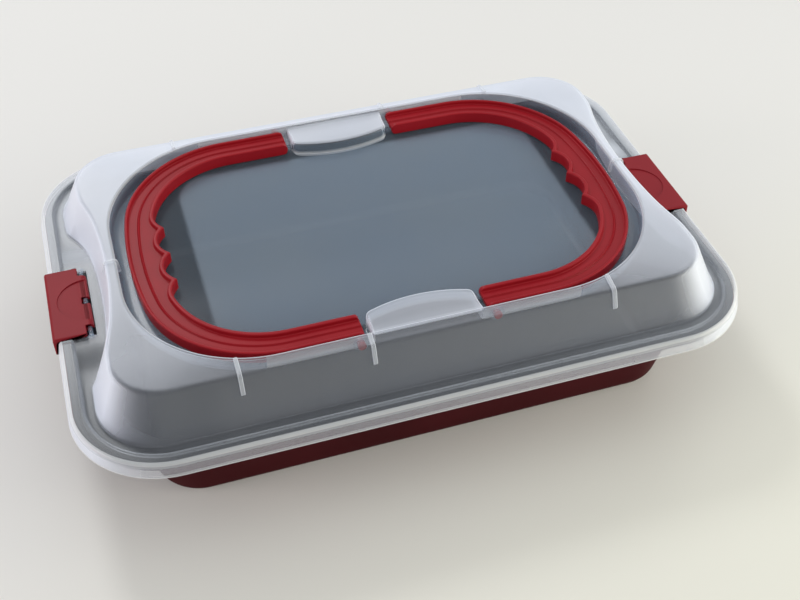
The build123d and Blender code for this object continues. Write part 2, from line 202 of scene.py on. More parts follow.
# Materials: two close colours, roughness, gloss, and scale and height of the grain. The lid's have their haze
# too: seen straight on, its growth towards grazing angles, the power of that growth, and the most it reaches
finish = {
    "panOutside": {"color": (0.050, 0.003, 0.005), "light": (0.064, 0.004, 0.007), "rough": 0.55,
                   "specular": 0.06, "grain": 900.0, "bump": 0.04},
    "panInside": {"color": (0.010, 0.012, 0.017), "light": (0.016, 0.019, 0.026), "rough": 0.50,
                  "specular": 0.3, "grain": 900.0, "bump": 0.01},
    "handleRed": {"color": (0.30, 0.006, 0.012), "light": (0.34, 0.009, 0.016), "rough": 0.38,
                  "specular": 0.18, "grain": 1400.0, "bump": 0.05},
    "latchRed": {"color": (0.24, 0.008, 0.014), "light": (0.28, 0.011, 0.018), "rough": 0.48,
                 "specular": 0.2, "grain": 1400.0, "bump": 0.06},
    # the seen-through share of the lid takes its gloss along, so what is left has more gloss than plastic
    "lidFrost": {"color": (0.84, 0.88, 0.97), "light": (0.87, 0.90, 0.98), "rough": 0.40, "bump": 0.004,
                 "alpha": 0.075, "edgeAlpha": 2.9, "edgePower": 2.2, "most": 0.85, "ior": 1.95},
    # whiter: the haze of thick plastic on the skirt, ribs, cut edges and pads' foot, and a painted highlight
    # along the crest's edge
    "lidThickAndHighlight": {"color": (0.86, 0.90, 0.95), "light": (0.89, 0.92, 0.96), "rough": 0.30, "bump": 0.01,
                 "alpha": 0.24, "edgeAlpha": 0.6, "edgePower": 1.2, "most": 0.85, "ior": 1.8},
    "lidClear": {"color": (0.64, 0.80, 1.0), "light": (0.68, 0.83, 1.0), "rough": 0.16, "bump": 0.002,
                 "alpha": 0.095, "edgeAlpha": 0.35, "edgePower": 2.0, "most": 0.4, "ior": 2.0},
    "lidLedge": {"color": (0.80, 0.84, 0.90), "light": (0.84, 0.88, 0.93), "rough": 0.26, "bump": 0.004,
                 "alpha": 0.045, "edgeAlpha": 18.0, "edgePower": 4.7, "most": 0.7, "ior": 2.1},
    "lidGroove": {"color": (0.80, 0.84, 0.90), "light": (0.84, 0.88, 0.93), "rough": 0.26, "bump": 0.004,
                  "alpha": 0.09, "edgeAlpha": 0.9, "edgePower": 2.0, "most": 0.3, "ior": 1.8},
    # whiter still: partly the haze of thick plastic, partly a painted highlight along the bead's top edge and
    # the skirt's foot
    "lidCrest": {"color": (0.88, 0.90, 0.91), "light": (0.91, 0.92, 0.93), "rough": 0.30, "bump": 0.01,
                 "alpha": 0.40, "edgeAlpha": 0.6, "edgePower": 1.2, "most": 0.9, "ior": 1.8},
}
# the tray's floor is as clear, with a share of that haze outside a rounded rectangle: a painted shadow of the
# handles
finish["lidTray"] = finish["lidClear"] | {
    "paintedHandleShadow": {"middle": (5.5, -3.5), "half": (125.0, 86.5), "corner": 24.0, "soft": 4.0, "share": 0.32}}
# the lid's finishes in the order of their numbers in its mesh
lidZones = ("lidFrost", "lidThickAndHighlight", "lidClear", "lidLedge", "lidTray", "lidGroove", "lidCrest")

# the slow noise between the two colours, and the fine one of the grain, whose height is in metres
noise = {"toneScale": 14.0, "toneDetail": 3.0, "toneBand": (0.35, 0.65), "lidGrain": 300.0,
         "grainDetail": 2.0, "grainHeight": 0.0004}


def mathStep(tree, kind, operation, source, *values):
    # a math node fed by a socket, with its other values set on the node itself
    node = tree.nodes.new("ShaderNode" + kind)
    node.operation = operation
    tree.links.new(source, node.inputs[0])
    for k, value in enumerate(values):
        node.inputs[k + 1].default_value = value
    return node


def noiseOutput(tree, place, scale, detail):
    # the output of a noise on the piece's own coordinates
    node = tree.nodes.new("ShaderNodeTexNoise")
    node.inputs["Scale"].default_value = scale
    node.inputs["Detail"].default_value = detail
    tree.links.new(place, node.inputs["Vector"])
    return node.outputs["Fac"]


def hazeWithPaintedShadow(tree, place, haze, paintedHandleShadow):
    # a painted shadow of the handles on the tray's floor, made by thinning the haze near them
    # the haze times a share that falls off outside a rounded rectangle:
    # distance = length(max(|place - middle| - (half - corner), 0)), compared with the corner's radius
    middle = [v * mm for v in paintedHandleShadow["middle"]] + [0.0]
    straight = [(v - paintedHandleShadow["corner"]) * mm for v in paintedHandleShadow["half"]] + [1.0]     # height never counts
    centred = mathStep(tree, "VectorMath", "SUBTRACT", place, middle)
    size = mathStep(tree, "VectorMath", "ABSOLUTE", centred.outputs["Vector"])
    past = mathStep(tree, "VectorMath", "SUBTRACT", size.outputs["Vector"], straight)
    above = mathStep(tree, "VectorMath", "MAXIMUM", past.outputs["Vector"])
    reach = mathStep(tree, "VectorMath", "LENGTH", above.outputs["Vector"])
    fall = tree.nodes.new("ShaderNodeMapRange")
    fall.interpolation_type = "SMOOTHSTEP"
    fall.inputs["From Min"].default_value = (paintedHandleShadow["corner"] - paintedHandleShadow["soft"]) * mm
    fall.inputs["From Max"].default_value = paintedHandleShadow["corner"] * mm
    fall.inputs["To Min"].default_value = 1.0
    fall.inputs["To Max"].default_value = paintedHandleShadow["share"]
    tree.links.new(reach.outputs["Value"], fall.inputs["Value"])
    product = mathStep(tree, "Math", "MULTIPLY", haze)
    tree.links.new(fall.outputs["Result"], product.inputs[1])
    return product.outputs[0]


def makeFinish(name, f):
    # two close shades mixed by slow noise, and a fine grain that lifts the surface;
    # on the lid, haze = min(alpha + edgeAlpha x facing^edgePower, most)
    material = bpy.data.materials.new(name)
    material.use_nodes = True
    tree = material.node_tree
    shader = tree.nodes["Principled BSDF"]
    shader.inputs["Roughness"].default_value = f["rough"]
    place = tree.nodes.new("ShaderNodeTexCoord").outputs["Object"]
    shade = tree.nodes.new("ShaderNodeValToRGB")
    for k, color in enumerate((f["color"], f["light"])):
        shade.color_ramp.elements[k].position = noise["toneBand"][k]
        shade.color_ramp.elements[k].color = (*color, 1.0)
    tree.links.new(noiseOutput(tree, place, noise["toneScale"], noise["toneDetail"]), shade.inputs["Fac"])
    tree.links.new(shade.outputs["Color"], shader.inputs["Base Color"])
    lift = tree.nodes.new("ShaderNodeBump")
    lift.inputs["Strength"].default_value = f["bump"]
    lift.inputs["Distance"].default_value = noise["grainHeight"]
    grain = noiseOutput(tree, place, f.get("grain", noise["lidGrain"]), noise["grainDetail"])
    tree.links.new(grain, lift.inputs["Height"])
    tree.links.new(lift.outputs["Normal"], shader.inputs["Normal"])
    if "specular" in f:
        shader.inputs["Specular IOR Level"].default_value = f["specular"]
    if "alpha" in f:
        shader.inputs["IOR"].default_value = f["ior"]
        edge = tree.nodes.new("ShaderNodeLayerWeight")
        edge.inputs["Blend"].default_value = 0.5     # facing runs from 0 straight on to 1 at the edge
        power = mathStep(tree, "Math", "POWER", edge.outputs["Facing"], f["edgePower"])
        total = mathStep(tree, "Math", "MULTIPLY_ADD", power.outputs[0], f["edgeAlpha"], f["alpha"])
        haze = mathStep(tree, "Math", "MINIMUM", total.outputs[0], f["most"]).outputs[0]
        # the tray's painted shadow of the handles
        if "paintedHandleShadow" in f:
            haze = hazeWithPaintedShadow(tree, place, haze, f["paintedHandleShadow"])
        tree.links.new(haze, shader.inputs["Alpha"])
    return material


made = {name: makeFinish(name, f) for name, f in finish.items()}
print("stage: materials")

# Pan
pan = {
    "base": (167.0, 111.0, 28.5),       # half length, half width and corner at the foot
    "mouth": (182.0, 125.0, 42.0),
    "rim": (204.4, 139.4, 51.4),        # to the middle of the roll
    "depth": 67.0, "sheet": 1.0, "bend": 8.0, "mouthBend": 2.2, "roll": 2.4, "rollZ": 66.5,
    "underSoft": 0.4,                   # the bend at the mouth is this much wider on the outside
    "floorRings": ((18.0, 12.0, 6.0), (90.0, 56.0, 14.0)),
    "wallLow": 12.0,                    # lowest ring of the wall, and the gaps from its highest one to the
    "wallGaps": (0.6, 2.0),             # bend at the mouth, inside and outside
    "cornerSteps": 20, "sideSteps": 14,
    "splitAngle": 55.0,                 # the inner coat ends this far up the roll
}


def roundedLoop(p, halfX, halfY, corner):
    # each quarter: the corner's arc by angle, then an even straight run to the next corner
    turn = np.linspace(0, np.pi / 2, p["cornerSteps"])
    step = np.linspace(0, 1, p["sideSteps"] + 1)[1:-1, None]
    x, y = halfX - corner, halfY - corner
    middles = [(x, y), (-x, y), (-x, -y), (x, -y)]
    pieces = []
    for k in range(4):
        (x, y), (nextX, nextY) = middles[k], middles[(k + 1) % 4]
        angle = turn + k * np.pi / 2
        arc = np.stack([x + corner * np.cos(angle), y + corner * np.sin(angle)], 1)
        end = (k + 1) * np.pi / 2
        goal = np.array([nextX + corner * np.cos(end), nextY + corner * np.sin(end)])
        pieces += [arc, arc[-1] + (goal - arc[-1]) * step]
    return np.concatenate(pieces)


def wallRing(p, z, inset):
    # the drafted wall at a height
    t = z / p["depth"]
    return [b + (m - b) * t - inset for b, m in zip(p["base"], p["mouth"])] + [z]


def panRings(p):
    # half length, half width, corner and height of each ring, from the middle inside to the middle below
    depth, sheet, mouthBend = p["depth"], p["sheet"], p["mouthBend"]
    slope = math.atan((p["mouth"][0] - p["base"][0]) / depth)
    full = math.pi / 2 - slope

    def footBend(radius, lift, inset):
        reach = radius * math.tan(full / 2)
        out = []
        for a in np.linspace(0, full, 7):
            shift = -inset - reach + radius * math.sin(a)
            out.append([b + shift for b in p["base"]] + [lift + radius * (1 - math.cos(a))])
        return out

    def mouthRing(share, radius, level, inset):
        shift = radius * (1 - math.cos(share * full)) - inset
        return [m + shift for m in p["mouth"]] + [level - radius * (1 - math.sin(share * full))]

    def flangeRing(share, level):
        return [m + (r - m) * share for m, r in zip(p["mouth"], p["rim"])] + [level]

    insideTop, outsideTop = (depth - mouthBend - gap for gap in p["wallGaps"])
    rings = [[*ring, sheet] for ring in p["floorRings"]]
    rings += footBend(p["bend"] - sheet, sheet, sheet)
    rings += [wallRing(p, z, sheet) for z in np.linspace(p["wallLow"], insideTop, 6)]
    rings += [mouthRing(share, mouthBend, depth, sheet) for share in np.linspace(0.2, 1, 5)]
    rings += [flangeRing(share, depth) for share in (0.4, 0.8)]
    start = math.pi - math.asin((depth - p["rollZ"]) / p["roll"])
    stop = -math.pi + math.asin((p["rollZ"] - depth + sheet) / p["roll"])
    angles = np.linspace(start, stop, 26)
    split = len(rings) + int(np.sum(angles > math.radians(p["splitAngle"])))
    for a in angles:
        shift = p["roll"] * math.cos(a)
        rings.append([r + shift for r in p["rim"]] + [p["rollZ"] + p["roll"] * math.sin(a)])
    low = depth - sheet
    rings += [flangeRing(share, low) for share in (0.8, 0.4)]
    under = mouthBend - sheet + p["underSoft"]
    rings += [mouthRing(share, under, low, 0.0) for share in np.linspace(1, 0.2, 5)]
    rings += [wallRing(p, z, 0.0) for z in np.linspace(outsideTop, p["wallLow"], 6)]
    rings += footBend(p["bend"], 0.0, 0.0)[::-1]
    rings += [[*ring, 0.0] for ring in p["floorRings"][::-1]]
    return np.array(rings), split


def panPart(p):
    # a rounded loop for each ring, closed over the middle rings; the inner coat ends at the split
    rings, split = panRings(p)
    loops = [np.insert(roundedLoop(p, *size), 2, z, 1) for *size, z in rings]
    points, (faces, top, under), _ = sweptPart(np.stack(loops))
    cut = split * len(loops[0])
    return [(points, [faces[:cut], top], 1), (points, [faces[cut:], under], 0)]


coats = [made["panOutside"], made["panInside"]]
makePiece("bakingPan", panPart(pan), coats, "pan", "baking_pan")

# Lid
lid = {
    "middle": (110.0, 76.0),            # where the rays of the corners start
    # half length, half width and corner of each outline
    "skirt": (210.0, 145.0, 57.0), "bead": (208.0, 143.0, 55.0), "groove": (199.5, 134.5, 46.5),
    "foot": (193.5, 126.3, 37.0), "shoulder": (181.5, 114.3, 31.0), "recess": (165.6, 105.4, 78.0),
    "skirtLow": 62.6, "beadTop": 72.2, "deckTop": 69.0, "shoulderZ": 98.0, "crestZ": 99.3, "floorZ": 88.8,
    "wall": 1.45, "draft": 0.9, "skirtFoot": 0.8, "grooveDeep": 1.7,
    "beadRound": 1.6, "footRound": 0.8, "shoulderRound": 4.0, "crestRound": 1.7, "floorRound": 1.0,
    # the shoulder's curve: its turn in degrees, and how far it reaches down the wall and in over the top
    "shoulderTurn": 33.0, "shoulderReach": (0.93, 0.75), "wallStart": 0.03,
    # the latch pocket: depth and half width at its foot and at its top, then its flat middle, and how softly
    # and up to where it is let into the dome
    "pocketFoot": (15.1, 70.0), "pocketTop": (9.1, 68.0), "flatHalf": 40.0, "flatSag": 2.5,
    "pocketSoft": 2.4, "pocketEnd": 100.0,
    "padRise": 1.4, "padHalf": 36.0, "padRamp": 24.0,             # the ledge is higher under the latch
    # the slot's near and far edge and half width; away from it its two rings lie at these shares of the ledge
    "slot": (185.5, 192.0, 30.0), "slotRings": (0.35, 0.66), "slotBlend": 46.0, "notchHalf": 31.8,
    # the pads in the tray: the rings' points beside the pad's end, and the share of its height at each
    "bossHalf": 33.7, "bossTop": 97.0, "bossMiddle": 80.5, "bossEnd": 87.0, "bossCorner": 6.0,
    "bossRound": 1.6,
    "bossSteps": (-1.6, -0.96, -0.4, 0.0, 0.06, 0.35, 0.8, 1.4),
    "bossShare": (1.0, 0.965, 0.88, 0.80, 0.12, 0.045, 0.012, 0.0),
    "bossStart": 0.5, "bossLift": (0.36, 2.5),                    # a little higher where it leaves the wall
    "floorSteps": (4.0, 8.0, 11.0), "centre": 2.5,
    "pinX": 41.5, "pinZ": 93.15, "pinHole": 2.56, "pinBlock": 3.3,
    "collar": 4.5, "collarReach": 108.6, "collarEdge": 0.4,
    "wallBand": (1.2, 0.2),             # how far in and out of the recess's outline the tray's wall lies
    "bar": (188.8, 70.4, 1.3), "ear": 1.9, "earWidth": 1.8,
    # rows of the grid for each finish but the dome's frosted one, from the first up to the second
    # the whiter rows at the crest's edge and the bead's top edge are partly a painted highlight
    "zones": {"lidThickAndHighlight": ((2, 3), (35, 37)), "lidClear": ((38, 53),), "lidLedge": ((7, 8), (15, 18)),
              "lidTray": ((53, 99),), "lidGroove": ((8, 15),), "lidCrest": ((0, 1), (3, 7))},
    "longWall": ((38, 48), 96.0, 3.0),  # hazy part of the tray's long walls: rows, half length, reach inwards
    "padWall": (56, 57), "padFoot": (57, 59),
    "padFaces": (1.2, 1.5, 0.5),        # above the floor, beside a pad's end and within the wall: on the pad
    "ribs": (-113.0, -36.4, 113.0), "ribWidth": 2.5, "ribProud": 1.2, "ribDrop": 12.0, "endRibWidth": 2.0,
    "ribDeep": 0.7, "ribShoulder": (0.55, 0.62), "ribEnds": (0.6, 102.5), "wallLean": 0.92,
}


def lidRays(d):
    # one quarter, from the middle of the right end round to the middle of the rear:
    # level rays from the end, a fan about the middle point of the corner, then straight rays to the rear
    cx, cy = d["middle"]
    pin = d["pinX"] + d["pinBlock"] * np.linspace(-1, 1, 9)
    turn = np.radians(np.linspace(15, 90, 8)[:-2])
    bossTurn = d["bossHalf"] - d["bossCorner"] + d["bossCorner"] * np.sin(turn)
    bossEnd = d["bossHalf"] + np.array(d["bossSteps"])
    ys = np.unique(np.round(np.concatenate([
        [0, 1.5, 4, 7, 10, 13, 16, 19, 22, 25, 27.5, 29, 30, 31, 31.8, 33, 34.5, 36, 37.5, 40],
        np.arange(43, 64, 3), np.arange(64, cy, 2.0), [cy]]), 3))
    xs = np.unique(np.round(np.concatenate([
        [0], np.arange(3, 27, 3.0), bossTurn, bossEnd, pin, np.arange(48, cx, 4.0), [cx]]), 3))
    fan = np.radians(np.concatenate([np.arange(2, 52, 1.6), np.arange(52, 90, 3.2)]))
    level, straight = np.stack([cx + 0 * ys, ys], 1), np.stack([xs[::-1], cy + 0 * xs], 1)
    return fanRays(d["middle"], level, (1.0, 0.0), fan, straight, (0.0, 1.0))


def rayToOutline(rays, halfX, halfY, corner):
    # where each ray leaves a rounded rectangle: its nearer side, or the corner's circle
    origin, aim = rays
    tx = (halfX - origin[:, 0]) / np.maximum(aim[:, 0], 1e-9)
    ty = (halfY - origin[:, 1]) / np.maximum(aim[:, 1], 1e-9)
    hit = origin + aim * np.minimum(tx, ty)[:, None]
    centre = np.array([halfX - corner, halfY - corner])
    back = origin - centre
    b = np.sum(back * aim, 1)
    root = b**2 - np.sum(back**2, 1) + corner**2
    onArc = origin + aim * (-b + np.sqrt(np.maximum(root, 0)))[:, None]
    inCorner = (hit[:, 0] > centre[0]) & (hit[:, 1] > centre[1])
    return np.where(inCorner[:, None], onArc, hit)


def pocketX(d, y, up, shift):
    # the latch pocket's wall: a flat arc, a rounder arc that turns outwards, and its tangent beyond
    depth = d["pocketFoot"][0] + (d["pocketTop"][0] - d["pocketFoot"][0]) * up
    half = d["pocketFoot"][1] + (d["pocketTop"][1] - d["pocketFoot"][1]) * up
    wallX = d["foot"][0] + (d["shoulder"][0] - d["foot"][0]) * up - shift
    flat, sag = d["flatHalf"], d["flatSag"]
    arc = (flat**2 + sag**2) / (2 * sag)
    lean = math.asin(flat / arc)
    chord = np.array([depth - sag, half - flat])
    bow = (chord @ chord) / (2 * (chord[0] * math.cos(lean) - chord[1] * math.sin(lean)))
    centre = np.array([wallX - depth + sag + bow * math.cos(lean), flat - bow * math.sin(lean)])
    near = wallX - depth + arc - np.sqrt(arc**2 - np.minimum(y, flat) ** 2)
    yc = np.minimum(y, half)
    far = centre[0] - np.sqrt(bow**2 - (yc - centre[1]) ** 2)
    steep = (half - centre[1]) / math.sqrt(bow**2 - (half - centre[1]) ** 2)
    return np.where(y <= flat, near, far + np.maximum(y - half, 0) * steep)


def domeRing(d, rays, z, shift):
    # the drafted dome at a height, with the pocket let into its end
    up = (z - d["deckTop"]) / (d["shoulderZ"] - d["deckTop"])
    size = [f + (s - f) * up for f, s in zip(d["foot"], d["shoulder"])]
    hit = rayToOutline(rays, size[0] - shift, size[1] - shift, size[2] - shift)
    cut = pocketX(d, hit[:, 1], up, shift)
    x = -softMax(-hit[:, 0], -cut, d["pocketSoft"])
    x = np.where(hit[:, 1] < d["pocketEnd"], x, hit[:, 0])
    return np.column_stack([x, hit[:, 1], np.full(len(x), z)]), hit[:, 0] - x


def ringOf(rays, size, z, grow=0.0):
    # the rays' points on an outline at a height, the outline grown evenly
    hit = rayToOutline(rays, size[0] + grow, size[1] + grow, size[2] + grow)
    return np.column_stack([hit, np.zeros(len(hit)) + z])


def skirtRings(d, rays, deck):
    # up the skirt, over the bead, down into the groove and out on the ledge
    low, top, r = d["skirtLow"], d["beadTop"], d["beadRound"]
    rings = []
    for z in (low, low + d["skirtFoot"], top - 2 * r, top - r):
        t = (z - low) / (top - low)
        rings.append(ringOf(rays, [s + (b - s) * t for s, b in zip(d["skirt"], d["bead"])], z))
    rings += [ringOf(rays, d["bead"], top - down, -back) for back, down in arcSteps(r, 25, 50, 72, 90)]
    rings += [ringOf(rays, d["groove"], top - down, out) for down, out in arcSteps(r, 0, 22, 45, 68, 90)]
    fillet = d["footRound"]
    for inset, lift in ((0.0, fillet), (0.25, 0.25), (fillet, 0.0)):
        rings.append(ringOf(rays, d["groove"], np.minimum(deck + lift, top - d["grooveDeep"]), -inset))
    return rings


def ledgeRings(d, rays, deck, groove, fromEnd):
    # two rings that run along the slot's edges near the latch and evenly over the ledge elsewhere,
    # then the fillet at the dome's foot
    atEnd = rays[1][:, 1] == 0
    foot, _ = domeRing(d, rays, d["deckTop"], -d["footRound"])
    keep = 1 - smoothStep(fromEnd, d["notchHalf"] + 0.2, d["slotBlend"])
    rings = []
    for slotX, plain in zip(d["slot"][1::-1], d["slotRings"]):
        span = np.where(atEnd, groove[:, 0] - foot[:, 0], 1.0)
        exact = (groove[:, 0] - slotX) / span
        part = np.where(atEnd, exact * keep + plain * (1 - keep), plain)
        ring = groove + (foot - groove) * part[:, None]
        ring[:, 2] = deck
        rings.append(ring)
    for shift, lift in ((-d["footRound"], 0.0), (-0.25, 0.25)):
        ring, _ = domeRing(d, rays, d["deckTop"], shift)
        ring[:, 2] = deck + lift
        rings.append(ring)
    return rings


def domeRings(d, rays, deck):
    # up the drafted wall, round the shoulder and over the crest; the land rises to the crest where the pocket
    # leaves it narrow
    low, _ = domeRing(d, rays, d["deckTop"], 0.0)
    high, cut = domeRing(d, rays, d["shoulderZ"], 0.0)
    landWidth = d["shoulder"][0] - d["recess"][0] - d["shoulderRound"]
    lift = (d["crestZ"] - d["shoulderZ"]) * np.clip(cut / landWidth, 0, 1)
    downShare, inShare = d["shoulderReach"]
    drop = d["shoulderRound"] * math.tan(math.radians(d["shoulderTurn"])) * downShare
    first = d["wallStart"]
    last = (d["shoulderZ"] - drop - d["deckTop"]) / (d["shoulderZ"] - d["deckTop"])
    rings = []
    for s in np.linspace(0, 1, 7):
        t = first + (last - first) * s
        ring = low + (high - low) * t
        ring[:, 2] = deck + (d["shoulderZ"] - deck) * t + lift * s
        rings.append(ring)
    wallEnd = rings[-1]
    land, _ = domeRing(d, rays, d["shoulderZ"], d["shoulderRound"] * inShare)
    top = high.copy()
    land[:, 2] = top[:, 2] = d["shoulderZ"] + lift
    for s in (0.2, 0.4, 0.6, 0.8, 1.0):     # a quadratic curve round the shoulder's corner
        rings.append(wallEnd * (1 - s) ** 2 + top * 2 * s * (1 - s) + land * s**2)
    crest = ringOf(rays, d["recess"], d["crestZ"], d["crestRound"])
    rings += [land + (crest - land) * s for s in (0.3, 0.65, 1.0)]
    corner = arcSteps(d["crestRound"], 22, 45, 68, 90)
    return rings + [ringOf(rays, d["recess"], d["crestZ"] - down, out) for down, out in corner]


def bossEdge(d, x):
    # half width at which the pad's inner side lies: a wide arc, then the corner's circle
    half, corner = d["bossHalf"], d["bossCorner"]
    rise = d["bossEnd"] - d["bossMiddle"]
    arc = (half**2 + rise**2) / (2 * rise)
    centre = d["bossMiddle"] + arc
    cornerY = centre - math.sqrt((arc - corner) ** 2 - (half - corner) ** 2)
    joinX = (half - corner) * arc / (arc - corner)
    wide = centre - np.sqrt(arc**2 - np.minimum(x, joinX) ** 2)
    tight = cornerY - np.sqrt(np.maximum(corner**2 - (np.clip(x, joinX, half) - half + corner) ** 2, 0))
    return np.where(x < joinX, wide, tight), cornerY


def trayRings(d, rays):
    # down the tray's wall and in over its floor; at the middle of the long sides these rings cross the pads
    atSide = rays[1][:, 0] == 0
    x = np.where(atSide, rays[0][:, 0], np.inf)
    onPad = x < d["bossHalf"] + 0.01
    share = np.interp(x, d["bossHalf"] + np.array(d["bossSteps"]), d["bossShare"])
    edge, cornerY = bossEdge(d, x)
    floor, draft, wallY = d["floorZ"], d["draft"], d["recess"][1]
    levels = d["pinZ"] - d["pinBlock"] * np.linspace(-1, 1, 9)
    plan = [(z, draft * (d["crestZ"] - z) / (d["crestZ"] - floor)) for z in levels]
    plan += [(floor + up, draft + inset) for inset, up in arcSteps(d["floorRound"], 45, 90)]
    plan += [(floor, draft + inset) for inset in d["floorSteps"]]
    start = wallY - d["bossStart"]
    height, fade = d["bossLift"]
    rings = []
    for k, (z, inset) in enumerate(plan):
        ring = ringOf(rays, d["recess"], z, -inset)
        t = (k + 1) / (len(plan) + 1)
        ring[:, 1] = np.where(onPad, start + (edge + d["bossRound"] - start) * t, ring[:, 1])
        top = d["bossTop"] + height * max(0.0, 1 - fade * t) ** 2
        ring[:, 2] = np.where(z > top, z, z + (top - z) * share)
        rings.append(ring)
    steps = [(out, d["bossTop"] - down) for down, out in arcSteps(d["bossRound"], 0, 30, 60, 90)]
    steps += [(0.0, floor + 1.0), (-0.3, floor + 0.3), (-1.0, floor)]
    for out, z in steps:
        ring = ringOf(rays, d["recess"], floor, cornerY + out - wallY)
        ring[:, 1] = np.where(onPad, edge + out, ring[:, 1])
        ring[:, 2] = floor + (z - floor) * share
        rings.append(ring)
    small = d["centre"]
    inner = ringOf(rays, (d["middle"][0] + small, d["middle"][1] + small, small), floor)
    last = rings[-1]
    return rings + [last + (inner - last) * s for s in (0.4, 0.8, 1.0)]


def lidQuarter(d):
    # the lid's outer side as rings (first index) over the rays of one quarter
    rays = lidRays(d)
    fromEnd = np.where(rays[1][:, 1] == 0, rays[0][:, 1], np.inf)
    ramp = smoothStep(fromEnd, d["padHalf"] - 1, d["padHalf"] + d["padRamp"])
    deck = d["deckTop"] + d["padRise"] * (1 - ramp)
    skirt = skirtRings(d, rays, deck)
    ledge = ledgeRings(d, rays, deck, skirt[-1], fromEnd)
    return np.stack(skirt + ledge + domeRings(d, rays, deck) + trayRings(d, rays))


def mirrorRound(quarter):
    # the quarter and its three mirror images, as full loops
    back = quarter[:, ::-1]
    return np.concatenate([
        quarter, back[:, 1:] * [-1, 1, 1], quarter[:, 1:] * [-1, -1, 1], back[:, 1:-1] * [1, -1, 1]], axis=1)


def onTrayWall(d, y):
    # whether a half width lies on the tray's long wall
    inside, outside = d["wallBand"]
    return (y > d["recess"][1] - inside) & (y < d["recess"][1] + outside)


def roundPins(d, points):
    # the square block of the grid round each pin is drawn onto the hole's circle
    dx = (np.abs(points[:, 0]) - d["pinX"]) / d["pinBlock"]
    dz = (points[:, 2] - d["pinZ"]) / d["pinBlock"]
    reach = np.maximum(np.abs(dx), np.abs(dz))
    block = onTrayWall(d, np.abs(points[:, 1])) & (reach < 1.01) & (reach > 0.49)
    length = np.hypot(dx, dz) + 1e-9
    part = np.clip((reach - 0.5) / 0.5, 0, 1)
    scale = d["pinHole"] / length * (1 - part) + d["pinBlock"] * part
    scale = np.where(block, scale, d["pinBlock"])
    out = points.copy()
    out[:, 0] = np.sign(points[:, 0]) * (d["pinX"] + dx * scale)
    out[:, 2] = d["pinZ"] + dz * scale
    return np.where(block[:, None], out, points)


def thicken(points, faces, wall, lastRing):
    # the surface, its copy one wall further in along the points' normals, and a strip along each open edge
    a, b, c, e = (points[faces[:, k]] for k in range(4))
    faceNormal = np.cross(c - a, e - b)
    unit = faceNormal / (np.linalg.norm(faceNormal, axis=1)[:, None] + 1e-12)
    normal = np.zeros_like(points)
    for k in range(4):
        np.add.at(normal, faces[:, k], unit)
    normal /= np.linalg.norm(normal, axis=1)[:, None] + 1e-12
    away = points - normal * wall
    count = len(points)
    start, stop = faces.ravel(), np.roll(faces, -1, 1).ravel()
    onCap = np.isin(start, lastRing) & np.isin(stop, lastRing)
    onEdge = ~np.isin(start * count + stop, stop * count + start) & ~onCap
    s, t = start[onEdge], stop[onEdge]
    strip = np.stack([t, s, s + count, t + count], 1)
    cap = lastRing[None, :]
    return np.concatenate([points, away]), [faces, faces[:, ::-1] + count, strip, cap, cap[:, ::-1] + count]


def lidShell(d):
    # the quarter mirrored round, its faces given their finishes, opened at slots, notches and pin holes,
    # and thickened inwards
    quarter = lidQuarter(d)
    full = mirrorRound(quarter)
    rows, cols, _ = full.shape
    faces = gridFaces(rows, cols, True)
    middle = full.reshape(-1, 3)[faces].mean(1)
    x, y, z = np.abs(middle[:, 0]), np.abs(middle[:, 1]), middle[:, 2]
    row = np.arange(len(faces)) // cols
    above, beside, within = d["padFaces"]
    onPad = (z > d["floorZ"] + above) & (x < d["bossHalf"] + beside) & (y < d["recess"][1] - within)
    shade = np.zeros(len(faces), int)

    def inRows(first, last):
        return (row >= first) & (row < last)

    for name, spans in d["zones"].items():
        for span in spans:
            shade[inRows(*span) & ~onPad] = lidZones.index(name)
    thick, clear, tray = (lidZones.index(name) for name in ("lidThickAndHighlight", "lidClear", "lidTray"))
    wallRows, wallHalf, reach = d["longWall"]
    shade[inRows(*wallRows) & (x < wallHalf) & (y > d["recess"][1] - reach) & ~onPad] = thick
    shade[inRows(*d["padWall"]) & onPad] = clear
    shade[inRows(*d["padFoot"]) & (z > d["floorZ"] + 0.05)] = thick
    slotNear, slotFar, slotHalf = d["slot"]
    slot = (x > slotNear) & (x < slotFar) & (y < slotHalf) & (z < d["beadTop"])
    notch = (x > d["groove"][0] - 0.01) & (y < d["notchHalf"]) & (z < d["beadTop"] + 1)
    half = d["pinBlock"] / 2
    pinHoles = onTrayWall(d, y) & (np.abs(x - d["pinX"]) < half) & (np.abs(z - d["pinZ"]) < half)
    keep = ~(slot | notch | pinHoles)
    faces, shade = faces[keep], shade[keep]
    lastRing = np.arange(cols) + (rows - 1) * cols
    points, faceArrays = thicken(roundPins(d, full.reshape(-1, 3)), faces, d["wall"], lastRing)
    return (points, faceArrays, [shade, shade, thick, tray, tray]), quarter


def ribPart(d, section, across, width):
    # a rounded strip along a section of the lid's outside: columns over the width, rows along the section
    along = np.gradient(section, axis=0)
    along /= np.linalg.norm(along, axis=1)[:, None]
    out = np.cross(across, along)
    out *= np.sign(out[len(out) // 2, 2]) or 1.0
    half, proud, deep = width / 2, d["ribProud"], d["ribDeep"]
    low, narrow = d["ribShoulder"]
    side = [(-half, -deep), (-half, proud * low), (-half * narrow, proud)]
    cols = np.array(side + [(-c, h) for c, h in side[::-1]])
    base = section[:, None] + np.array(across) * cols[:, :1]
    grid = base + out[:, None] * cols[:, 1:]
    sunk = base - out[:, None] * deep
    grid[0], grid[-1] = sunk[0], sunk[-1]
    return sweptPart(grid, lidZones.index("lidThickAndHighlight"))


